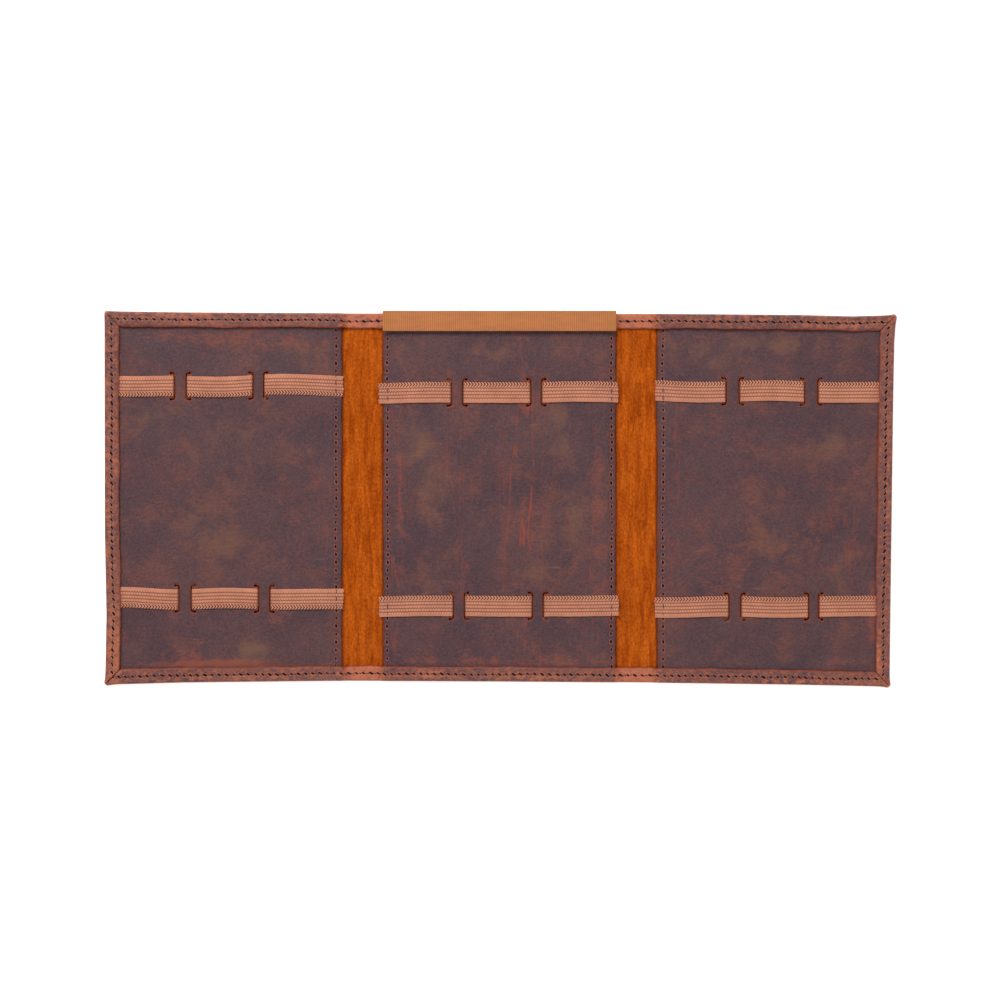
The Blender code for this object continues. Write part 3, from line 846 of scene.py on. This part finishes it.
def both_hems(first, second):
    """Stitches of the head and tail hems between two X places."""
    low, high = min(first, second), max(first, second)
    return hem_stitches(low, high, 1.0, COVER_SEED) + hem_stitches(low, high, -1.0, COVER_SEED + 1)


def side_stitches(end, seed):
    """Stitches of a flap's outer hem."""
    reach = HALF_HEIGHT - STITCH_INSET
    holes = hole_places(-reach, reach, seed)
    x = end - np.sign(end) * (STITCH_INSET + seam_sway(holes, seed))
    places = handmade(np.stack([x, holes, np.full_like(holes, HEM_TOP)], -1))
    return list(zip(places[:-1], places[1:]))


# ---------------------------------------------------------------- slotted panels


def bracket(row, x, towards):
    """Outline of a slot like a square bracket, whose hooks point to towards, and the ring round it."""
    half = SLOT_WIDTH / 2
    reach = SLOT_HEIGHT / 2 - half

    def outline(grow):
        wide = half + grow

        def side(offset):
            radius = max(SLOT_CORNER + offset, 0.05)
            blunt = offset + math.copysign(SLOT_BULB, offset)
            path = [(towards * SLOT_HOOK, reach + blunt)]
            for quarter, middle in ((0, reach - SLOT_CORNER), (1, SLOT_CORNER - reach)):
                for turn in np.linspace(quarter, quarter + 1, 7) * math.pi / 2:
                    bend = towards * (SLOT_CORNER - radius * math.sin(turn))
                    path.append((bend, middle + radius * math.cos(turn)))
            path.append((towards * SLOT_HOOK, -reach - blunt))
            return path

        def cap(middle):
            turns = np.linspace(math.pi, 0, 9)[1:-1]
            blunt = wide + SLOT_BULB
            across = towards * (SLOT_HOOK + blunt * np.sin(turns))
            return list(zip(across, middle + blunt * np.cos(turns)))

        loop = side(wide) + cap(-reach) + side(-wide)[::-1] + cap(reach)
        return np.array(loop) + (x, row)

    return outline(0.0), outline(0.9)


def inside(loop, x, y):
    """Which of the points x, y lie inside a closed outline."""
    result = np.zeros(x.shape, bool)
    for (x0, y0), (x1, y1) in zip(loop, np.roll(loop, -1, axis=0)):
        crosses = (y0 > y) != (y1 > y)
        if y0 != y1:
            result ^= crosses & (x < (x1 - x0) * (y - y0) / (y1 - y0) + x0)
    return result


def near(loop, x, y, reach):
    """Which of the points lie within reach of an outline."""
    result = np.zeros(x.shape, bool)
    for first, second in zip(loop, np.roll(loop, -1, axis=0)):
        way = second - first
        t = np.clip(((x - first[0]) * way[0] + (y - first[1]) * way[1]) / max(way @ way, 1e-9), 0, 1)
        result |= np.hypot(x - first[0] - t * way[0], y - first[1] - t * way[1]) < reach
    return result


PANEL_TAN = {
    "left": [(-205, 50, 16, 8, 20, 0.4), (-170, -20, 26, 16, -30, 0.35), (-146, -91, 14, 6.0, 8, 1.0),
             (-215, -92, 12, 4, 0, 0.35), (-120, 88, 26, 8, 0, 0.3), (-160, 30, 22, 20, 40, 0.35)],
    "centre": [(-45, 20, 9, 30, 10, 0.5), (-35, -35, 8, 24, -8, 0.4), (35, 40, 8, 22, 5, 0.5),
               (44, -5, 7, 26, 0, 0.45), (20, -40, 10, 16, 0, 0.3), (0, 88, 50, 5, 0, 0.3)],
    "right": [(150, 92, 40, 5, 0, 0.6), (128, 86, 22, 7, -5, 0.45), (200, 35, 14, 12, 30, 0.4),
              (160, -20, 30, 18, -20, 0.25), (150, -98, 40, 4, 0, 0.5), (205, -45, 10, 22, 0, 0.3)],
}
PANEL_WEAR = {
    "left": [(-178, -99.2, 44, 2.6, 1.5, 1.2), (-130, -100.5, 40, 1.2, 2, 0.9), (-190, 97, 40, 5.0, 0, 0.6),
             (-130, 95, 40, 6, 0, 0.45), (-185, -95, 30, 5, 4, 0.35),
             (-102, 40, 5, 60, 0, 0.25), (-150, -70, 50, 14, 0, 0.12)],
    "centre": [(-60, 0, 3, 90, 0, 0.3), (16, -20, 5, 80, 0, 0.22), (60, -10, 4, 90, 0, 0.35),
               (0, -98, 66, 3, 0, 0.5), (-30, 70, 26, 22, 0, 0.15)],
    "right": [(224, -70, 3, 26, 0, 0.85), (210, -98, 22, 2.6, 0, 0.6), (150, -30, 50, 26, 15, 0.18),
              (120, 97, 22, 3, 0, 0.4), (226, 20, 3, 60, 0, 0.3)],
}
PANEL_CREASE = {
    "left": [(-102, -10, 6, 70, 0, 0.35), (-205, 75, 12, 5, 20, 0.5)],
    "centre": [(-62, -10, 5, 95, 0, 0.8), (15, -15, 11, 95, 0, 1.0), (58, -20, 6, 90, 0, 1.0),
               (-25, -10, 10, 60, 0, 0.45), (38, 20, 8, 60, 0, 0.4)],
    "right": [(205, -20, 9, 50, 0, 0.5), (104, 0, 6, 60, 0, 0.4)],
}


def section_ends(name):
    """(lower X, upper X, seams as X places, edges that lie over a fold strip) of a section."""
    if name == "centre":
        seam = CENTRE_EDGE - CENTRE_SEAM_INSET
        return -CENTRE_EDGE, CENTRE_EDGE, [-seam, seam], [-CENTRE_EDGE, CENTRE_EDGE]
    side = -1 if name == "left" else 1
    hidden = side * (HALF_WIDTH - 2.2)
    edge = side * FLAP_EDGE
    return min(edge, hidden), max(edge, hidden), [side * (FLAP_EDGE + FLAP_SEAM_INSET)], [edge]


def edge_drop(x, edges):
    """How far a panel is drawn down towards the fold strip beside its sewn edge."""
    total = np.zeros_like(x)
    for edge in edges:
        total = total + PANEL_EDGE_DROP * (1 - smooth(np.abs(x - edge), 0.3, 6.0))
    return total


def panel_relief(name, x, y, seed):
    """Height of a panel's top."""
    _, _, _, edges = section_ends(name)
    soft = 0.16 * rumple(x, y, seed, 46) + 0.05 * rumple(x, y, seed + 1, 13)
    return PANEL_TOP - 0.1 + soft - edge_drop(x, edges)


def seam_marks(name, x, y):
    """(holes along, mm across) of the seam nearest to each point of a panel."""
    _, _, seams, _ = section_ends(name)
    across = np.full_like(x, 50.0)
    count = np.zeros_like(x)
    for index, seam in enumerate(seams):
        seed = PANEL_SEEDS[name] + 5 + index
        offset = x - seam - seam_sway(y, seed)
        closer = np.abs(offset) < np.abs(across)
        across = np.where(closer, offset, across)
        count = np.where(closer, seam_count(y, seed, SEAM_PITCH), count)
    return count, across


def add_panel(name):
    """One panel of leather with its bracket slots cut through."""
    low, high, _, edges = section_ends(name)
    seed = PANEL_SEEDS[name]
    half = PANEL_HALF - 1.5
    xs = np.linspace(low, high, int((high - low) / PANEL_MESH_STEP) + 1)
    ys = np.linspace(-half, half, int(2 * half / PANEL_MESH_STEP) + 1)
    gx, gy = [a.ravel() for a in np.meshgrid(xs, ys)]
    keep = np.ones(gx.shape, bool)
    slots = []
    for row, tilt, loops in STRAPS[name].values():
        middle = (loops[0][0] + loops[-1][1]) / 2
        for (_, end), (start, _) in zip(loops, loops[1:]):
            for x, towards in ((end, -1), (start, 1)):
                cut_line, ring = bracket(row + tilt * (x - middle), x, towards)
                close = (np.abs(gx - x) < 9) & (np.abs(gy - row) < 14)
                cx, cy = gx[close], gy[close]
                keep[close] &= ~(inside(ring, cx, cy) | near(ring, cx, cy, 0.35))
                slots.append((cut_line, ring))
    coords = list(zip(gx[keep], gy[keep]))
    cut_mask = [0.0] * len(coords)
    edges_in = []
    for cut_line, ring in slots:
        for loop, value in ((ring, 0.0), (cut_line, 1.0)):
            start = len(coords)
            coords += [tuple(p) for p in loop]
            cut_mask += [value] * len(loop)
            edges_in += [(start + i, start + (i + 1) % len(loop)) for i in range(len(loop))]
    coords = [tuple(map(float, c)) for c in coords]
    verts, _, faces, origin, _, _ = delaunay_2d_cdt(coords, edges_in, [], 0, 1e-4)
    flat = np.array([(v.x, v.y) for v in verts])
    cut = np.array([max([cut_mask[i] for i in ids] or [1.0]) for ids in origin])
    tri = np.array(faces)
    corner = flat[tri]
    area = np.cross(corner[:, 1] - corner[:, 0], corner[:, 2] - corner[:, 0])
    tri = tri[np.abs(area) > 1e-7]
    area = area[np.abs(area) > 1e-7]
    tri[area < 0] = tri[area < 0][:, ::-1]
    middle = flat[tri].mean(1)
    hollow = np.zeros(len(tri), bool)
    for cut_line, _ in slots:
        spot = cut_line.mean(0)
        close = np.hypot(*(middle - spot).T) < 16
        hollow[close] |= inside(cut_line, middle[close, 0], middle[close, 1])
    tri = tri[~hollow]
    used = np.unique(tri)
    renumber = np.full(len(flat), -1)
    renumber[used] = np.arange(len(used))
    tri, flat, cut = renumber[tri], flat[used], cut[used]

    x, y = flat[:, 0], flat[:, 1]
    count, across = seam_marks(name, x, y)
    edge_near = np.min([np.abs(x - edge) for edge in edges], axis=0)
    top = panel_relief(name, x, y, seed) - 0.22 * cut - dimple(count, across) - 0.2 * (edge_near < 0.05)
    count_all = len(flat)
    points = np.concatenate([np.column_stack([x, y, top]), np.column_stack([x, y, top - PANEL_LEATHER])])
    pairs = np.concatenate([tri[:, [0, 1]], tri[:, [1, 2]], tri[:, [2, 0]]])
    keys = np.sort(pairs, 1) @ np.array([count_all, 1])
    _, back, repeats = np.unique(keys, return_inverse=True, return_counts=True)
    rim = pairs[repeats[back] == 1]
    walls = np.column_stack([rim[:, 1], rim[:, 0], rim[:, 0] + count_all, rim[:, 1] + count_all])
    faces = tri.tolist() + (tri[:, ::-1] + count_all).tolist() + walls.tolist()

    red_edge = 0.5 * np.exp(-((edge_near / 0.8) ** 2)) * (np.sin(y * 0.21) + np.sin(y * 0.057 + 1) > -0.6)
    masks = {
        "wear": np.tile(blotches(x, y, PANEL_WEAR[name]), 2),
        "tan": np.tile(blotches(x, y, PANEL_TAN[name]), 2),
        "crease": np.tile(blotches(x, y, PANEL_CREASE[name]), 2),
        "cut": np.concatenate([np.maximum(cut, red_edge), np.ones(count_all)]),
        "dark": np.zeros(2 * count_all),
        "stitch": np.column_stack([np.tile(count, 2), np.tile(across, 2), np.full(2 * count_all, 0.75)]),
    }
    for end in (low, high):
        if end not in edges:
            continue
        side = np.sign(end - (low + high) / 2)
        beside = np.abs(points[:, 0] - end) < 0.05
        points[beside, 0] += side * (0.22 * waves(points[beside, 1], seed + 17, 5, 90))
    panel = add_piece(f"panel_{name}_leather", points, faces, PANEL, masks)
    body = "centre" if name == "centre" else f"{name}_flap"
    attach(panel, body)
    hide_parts(f"panel_{name}")


# ---------------------------------------------------------------- elastic straps


def strap_path(name, row, tilt, loops, seed):
    """Centre line of one strap: its points, and the distance along it of each."""
    side = {"left": -1, "centre": 0, "right": 1}[name]
    loops = list(loops)
    if side < 0:
        loops[0] = (-(HALF_WIDTH - 4.0), loops[0][1])
    if side > 0:
        loops[-1] = (loops[-1][0], HALF_WIDTH - 4.0)
    draw = np.random.RandomState(seed)
    line = []
    low = STRAP_FLOOR + 0.3
    for index, (start, end) in enumerate(loops):
        first, last = index == 0, index == len(loops) - 1
        xs = np.append(np.arange(start, end, 0.4), end)
        t = (xs - start) / (end - start)
        arch = draw.uniform(0.45, 0.8) * np.sin(math.pi * np.clip(t, 0, 1)) ** 0.7
        # (mm from this end, whether the strap ends here, whether that end lies under the outer hem)
        ends = ((xs - start, first, side < 0), (end - xs, last, side > 0))
        for inward, outermost, hidden in ends:
            if outermost and hidden:
                arch = arch * smooth(inward / (end - start), 0.0, 0.5)
        height = STRAP_TOP - 0.42 + arch
        for inward, outermost, hidden in ends:
            if not outermost:
                height = height - (height - low) * (1 - np.sqrt(smooth(inward, -0.05, 1.1)))
            elif not hidden:
                height = height - (1 - smooth(inward, 0.0, 8.0))
                height = height - arch * (1 - smooth(inward, 3.0, 14.0))
        line += list(zip(xs, height))
        if not last:
            gap = np.linspace(end, loops[index + 1][0], 8)[1:-1]
            line += [(x, low) for x in gap]
    line = np.array(line)
    step = np.hypot(*np.diff(line, axis=0).T)
    along = np.concatenate([[0], np.cumsum(step)])
    middle = (loops[0][0] + loops[-1][1]) / 2
    y = row + tilt * (line[:, 0] - middle) + 0.35 * waves(line[:, 0], seed, 50, 110)
    return np.column_stack([line[:, 0], y, line[:, 1]]), along


def add_strap(name, place):
    """One woven elastic strap: three loops over the panel, and two runs under it."""
    row, tilt, loops = STRAPS[name][place]
    seed = 500 + 10 * ["left", "centre", "right"].index(name) + (place == "top")
    middle, along = strap_path(name, row, tilt, loops, seed)
    half = STRAP_WIDTH / 2
    v = np.linspace(-half, half, 50)
    zig_side = -1 if name == "left" else 1
    zigzag = (v * zig_side > half - 2.6).astype(float)
    across = v * zig_side - RIB_START
    rib_height = 0.085 * np.abs(np.sin(math.pi * across / RIB)) * (1 - zigzag)
    edge_round = 0.28 * (1 - np.sqrt(np.clip(1 - (np.abs(v) / half) ** 12, 0, 1)))
    # The raw ends over the fold strips fray, and aren't cut quite square.
    skew = np.random.RandomState(seed).uniform(-1, 1)
    ragged = 0.2 * waves(v, seed + 40, 1.2, 9) + 0.05 * v * skew
    from_start = np.clip(1 - along / STRAP_FRAY, 0, 1)[:, None]
    from_end = np.clip(1 - (along[-1] - along) / STRAP_FRAY, 0, 1)[:, None]
    x = middle[:, :1] + ragged * (from_start + from_end)
    y = middle[:, 1:2] + v * (1 + 0.006 * waves(along, seed + 60, 3, 25)[:, None])
    parity = np.cos(math.pi * np.floor(across / RIB))
    pick = 0.03 * np.cos(2 * math.pi * along / PICK)[:, None] * parity
    chevron = along[:, None] + ZIG_LEAN * np.abs(across - ZIG_MIDDLE)
    zig = 0.05 * np.cos(2 * math.pi * chevron / ZIG) * zigzag
    crown = 0.18 * (1 - (v / half) ** 2)
    z = middle[:, 2:] + (rib_height - edge_round + crown) + pick + zig
    # Painted shade on the parts of the strap that run under the panel.
    below = smooth(PANEL_TOP + 0.25 - middle[:, 2], 0.0, 0.9)
    dark = 0.85 * below * edge_under_panel(name, middle[:, 0])
    values = {"weave": vectors(along[:, None], across, zigzag), "dark": np.repeat(dark, len(v))}
    faces = grid_faces(len(middle), len(v), flip=True)
    strap = add_piece(f"elastic_{name}_{place}_woven", vectors(x, y, z), faces, STRAP, values,
                      thickness=ELASTIC_THICKNESS)
    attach(strap, "centre" if name == "centre" else f"{name}_flap")
    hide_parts(f"elastic_{name}_{place}")


def edge_under_panel(name, x):
    """1 away from a panel's sewn edges, where a low strap is under the panel."""
    _, _, _, edges = section_ends(name)
    return smooth(np.min([np.abs(x - edge) for edge in edges], axis=0), 8.0, 12.0)


# ---------------------------------------------------------------- seams over panels and straps


def seam_runs(name, index, seam):
    """Stitches of one seam, over the leather and over the ends of the straps."""
    seed = PANEL_SEEDS[name] + 5 + index
    reach = HALF_HEIGHT - HEM_WIDTH + 0.6
    holes = hole_places(-reach, reach, seed, SEAM_PITCH)
    x = seam + seam_sway(holes, seed)
    z = panel_relief(name, x, holes, PANEL_SEEDS[name]) + 0.02
    over = np.zeros_like(holes)
    half = STRAP_WIDTH / 2
    for row, _, _ in STRAPS[name].values():
        over = np.maximum(over, 1 - smooth(np.abs(holes - row), half - 0.6, half + 0.8))
    ends = [(loops[0][0], loops[-1][1]) for _, _, loops in STRAPS[name].values()]
    reach_in = np.mean([min(abs(seam - first), abs(seam - last)) for first, last in ends])
    on_strap = STRAP_TOP + 0.32 - (1 - smooth(reach_in, 0.0, 8.0))
    z = z + over * (on_strap - z)
    places = np.stack([x, holes, z], -1)
    return list(zip(places[:-1], places[1:]))


def add_seams():
    """The thread of the four seams."""
    for name in ("left", "centre", "right"):
        _, _, seams, _ = section_ends(name)
        for index, seam in enumerate(seams):
            if name == "centre":
                node = "seam_centre_left" if seam < 0 else "seam_centre_right"
            else:
                node = f"seam_{name}_flap"
            thread = add_thread(f"{node}_thread", seam_runs(name, index, seam))
            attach(thread, "centre" if name == "centre" else f"{name}_flap")
            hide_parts(node)


# ---------------------------------------------------------------- fold strips


def add_suede(name, start, end, side, seed):
    """The flesh side of a fold strip from start to end, distances from the centre panel's edge."""
    us = np.linspace(start, end, int((end - start) / 0.3) + 1)
    half = HALF_HEIGHT - 2.0
    ys = np.linspace(-half, half, int(2 * half / 1.1) + 1)
    u, y = np.meshgrid(us, ys)
    width = FLAP_EDGE - CENTRE_EDGE
    rise = 0.85 * (1 - smooth(u, 0.0, 2.6)) + 0.85 * smooth(u, width - 2.6, width)
    wander = u + 0.8 * np.sin(y / 31 + side) + 0.4 * np.sin(y / 13)
    turn = wander * 2 * math.pi
    pleats = 0.16 * np.sin(turn / 6.3 + side) + 0.10 * np.sin(turn / 3.4 + y / 50)
    pleats = pleats * smooth(u, 0.5, 3.5) * (1 - smooth(u, width - 3.5, width - 0.5))
    hem_line = HALF_HEIGHT - HEM_WIDTH
    pleats = pleats * (1 - smooth(np.abs(y), hem_line - 3, hem_line + 1))
    z = 1.0 + rise + pleats + 0.05 * rumple(u, y, seed, 9)
    # Painted shade beside the strip's two edges and under the hem's edge.
    dark = 0.8 * np.exp(-(((u - 0.2) / 0.9) ** 2)) + 0.8 * np.exp(-(((width - 0.2 - u) / 0.9) ** 2))
    dark = np.clip(dark + 0.5 * smooth(np.abs(y), hem_line - 1.2, hem_line), 0, 1)
    points = vectors(side * (CENTRE_EDGE + u), y, z)
    faces = grid_faces(len(ys), len(us), flip=side < 0)
    return add_piece(name, points, faces, SUEDE, {"dark": dark.ravel()}, thickness=SUEDE_THICKNESS)


# Where each fold strip bends, in mm from the centre panel's edge: at its near and at its far hinge.
BENDS = {"left": ((2.6, 12.6), (17.0, 25.0)), "right": ((0.0, 6.0), (19.4, 25.0))}


def add_folds():
    """Each fold strip in two halves, split midway between its two hinges: suede, outer leather and thread."""
    width = FLAP_EDGE - CENTRE_EDGE
    for side_name, side in (("left", -1), ("right", 1)):
        near_hinge = HINGES[f"{side_name}_fold_hinge"] - CENTRE_EDGE
        far_hinge = HINGES[f"{side_name}_flap_fold"] - CENTRE_EDGE
        middle = (near_hinge + far_hinge) / 2
        parts = [
            ("inner", 0.0, middle, "centre", f"{side_name}_fold", BENDS[side_name][0]),
            ("outer", middle, width, f"{side_name}_fold", f"{side_name}_flap", BENDS[side_name][1]),
        ]
        for label, start, end, first, second, (bend_start, bend_end) in parts:
            low, high = side * (CENTRE_EDGE + start), side * (CENTRE_EDGE + end)
            flesh = add_suede(f"fold_{side_name}_{label}_suede", start, end, side, 700)
            wrap = cover_mesh(f"fold_{side_name}_{label}_leather", low, high, False, FOLD_SKIN, COVER_SEED)
            thread = add_thread(f"fold_{side_name}_{label}_thread", both_hems(low, high))
            for piece, slot in ((flesh, "suede"), (wrap, "cover_leather"), (thread, "thread")):
                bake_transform(piece)
            if label == "inner":
                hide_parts(f"fold_strip_{side_name}")
                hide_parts(f"stitching_fold_{side_name}_head", f"stitching_fold_{side_name}_tail")


def add_covers():
    """The covers of the three sections, with the hem's thread."""
    centre = cover_mesh("cover_centre_leather", -CENTRE_EDGE, CENTRE_EDGE, False, LEATHER, COVER_SEED)
    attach(centre, "centre")
    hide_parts("cover_centre")
    for place, head, seed in (("head", 1.0, COVER_SEED), ("tail", -1.0, COVER_SEED + 1)):
        runs = hem_stitches(-CENTRE_EDGE, CENTRE_EDGE, head, seed)
        thread = add_thread(f"stitching_centre_{place}_thread", runs)
        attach(thread, "centre")
        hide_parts(f"stitching_centre_{place}")
    for name, side in (("left", -1), ("right", 1)):
        inner, outer = side * FLAP_EDGE, side * HALF_WIDTH
        cover = cover_mesh(f"cover_{name}_leather", inner, outer, True, LEATHER, COVER_SEED)
        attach(cover, f"{name}_flap")
        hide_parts(f"cover_{name}")
        corner = outer - side * STITCH_INSET
        runs = both_hems(inner, corner) + side_stitches(outer, COVER_SEED + 2)
        thread = add_thread(f"stitching_{name}_thread", runs)
        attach(thread, f"{name}_flap")
        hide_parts(f"stitching_{name}")


# ---------------------------------------------------------------- closure band


def add_band():
    """The wide elastic across the head, with both ends turned under."""
    half = BAND_HIGH[0]
    low, high = BAND_LOW[1], BAND_HIGH[1]
    top, floor = BAND_HIGH[2] - 0.1, BAND_LOW[2] + 0.1
    bend = (top - floor - BAND_LOOP) / 2
    path = [(-half + BAND_TUCK, floor)]
    path += [(x, floor) for x in np.arange(-half + BAND_TUCK - 0.5, -half + bend, -0.5)]
    for turn in np.linspace(-0.5, 0.5, 9) * math.pi:
        path.append((-half + bend - bend * math.cos(turn), floor + bend + bend * math.sin(turn)))
    path = np.array(path)
    straight = np.arange(-half + bend + 0.3, half - bend, 0.3)
    upper = np.column_stack([straight, np.full_like(straight, floor + 2 * bend)])
    mirrored = path[::-1] * (-1, 1)
    line = np.concatenate([path, upper, mirrored])
    along = np.concatenate([[0], np.cumsum(np.hypot(*np.diff(line, axis=0).T))])
    v = np.linspace(low, high, 44)
    middle, width = (low + high) / 2, (high - low) / 2
    spread = (v - middle) / width
    round_edge = 0.2 * (1 - np.sqrt(np.clip(1 - np.abs(spread) ** 14, 0, 1)))
    x, height = line[:, :1], line[:, 1:]
    y = middle + (v - middle) * (1 + 0.004 * waves(along, 900, 4, 60)[:, None])
    z = height + 0.25 * BAND_LOOP - round_edge * np.sign(height - floor - bend)
    on_top = (height > floor + 1.5 * bend).astype(float)
    ribs = 0.045 * np.cos(2 * math.pi * along / BAND_RIB)[:, None]
    z = z + on_top * (ribs + 0.08 * rumple(x, y, 901, 38) + 0.16 * (1 - spread**2))
    end = smooth(np.abs(x), half - 9, half - 3) * 0.8
    faces = grid_faces(len(line), len(v), flip=True)
    band = add_piece("closure_band_woven", vectors(x, y, z), faces, BAND,
                     {"weave": vectors(along[:, None], v, end)}, thickness=ELASTIC_THICKNESS)
    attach(band, "closure_band")
    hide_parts("closure_band")


# ---------------------------------------------------------------- stage


def add_stage():
    """Plain white floor, soft light from above, and the camera straight overhead."""
    floor = new_object("floor", bpy.data.meshes.new("floor"))
    square = ((-1, -1), (1, -1), (1, 1), (-1, 1))
    corners = [(x * FLOOR_HALF, y * FLOOR_HALF, -FLOOR_BELOW) for x, y in square]
    floor.data.from_pydata(corners, [], [(0, 1, 2, 3)])
    material = bpy.data.materials.new("floor_white")
    material.use_nodes = True
    surface = material.node_tree.nodes["Principled BSDF"]
    surface.inputs["Base Color"].default_value = (0.9, 0.9, 0.9, 1)
    surface.inputs["Roughness"].default_value = 0.9
    surface.inputs["Specular IOR Level"].default_value = 0.0
    surface.inputs["Emission Color"].default_value = (1, 1, 1, 1)
    surface.inputs["Emission Strength"].default_value = 0.6
    floor.data.materials.append(material)

    def lamp(name, place, size, power):
        data = bpy.data.lights.new(name, "AREA")
        data.shape = "SQUARE"
        data.size = size
        data.energy = power
        light = new_object(name, data)
        light.location = place
        way = -np.array(place)
        light.rotation_euler = (math.atan2(math.hypot(way[0], way[1]), -way[2]), 0,
                                math.atan2(way[1], way[0]) - math.pi / 2)

    lamp("key", (-0.5, 1.1, 1.5), 0.9, 24)
    lamp("fill", (0.8, -0.5, 1.6), 1.4, 5)
    world = bpy.data.worlds.new("studio")
    world.use_nodes = True
    world.node_tree.nodes["Background"].inputs["Color"].default_value = (1, 1, 1, 1)
    world.node_tree.nodes["Background"].inputs["Strength"].default_value = 0.46
    bpy.context.scene.world = world

    camera = new_object("camera", bpy.data.cameras.new("camera"))
    camera.data.lens = 85
    camera.data.sensor_width = 36
    camera.location = (0.0003, -0.0009, 1.4217)
    bpy.context.scene.camera = camera
    bpy.context.scene.view_settings.view_transform = "Standard"


for section in ("left", "centre", "right"):
    add_panel(section)
    for place in ("top", "bottom"):
        add_strap(section, place)
    stiffener = frame["nodes"][f"stiffener_{section}"]
    stiffener.data.materials.clear()
    stiffener.data.materials.append(BOARD)
add_seams()
add_covers()
add_folds()
add_band()
add_stage()
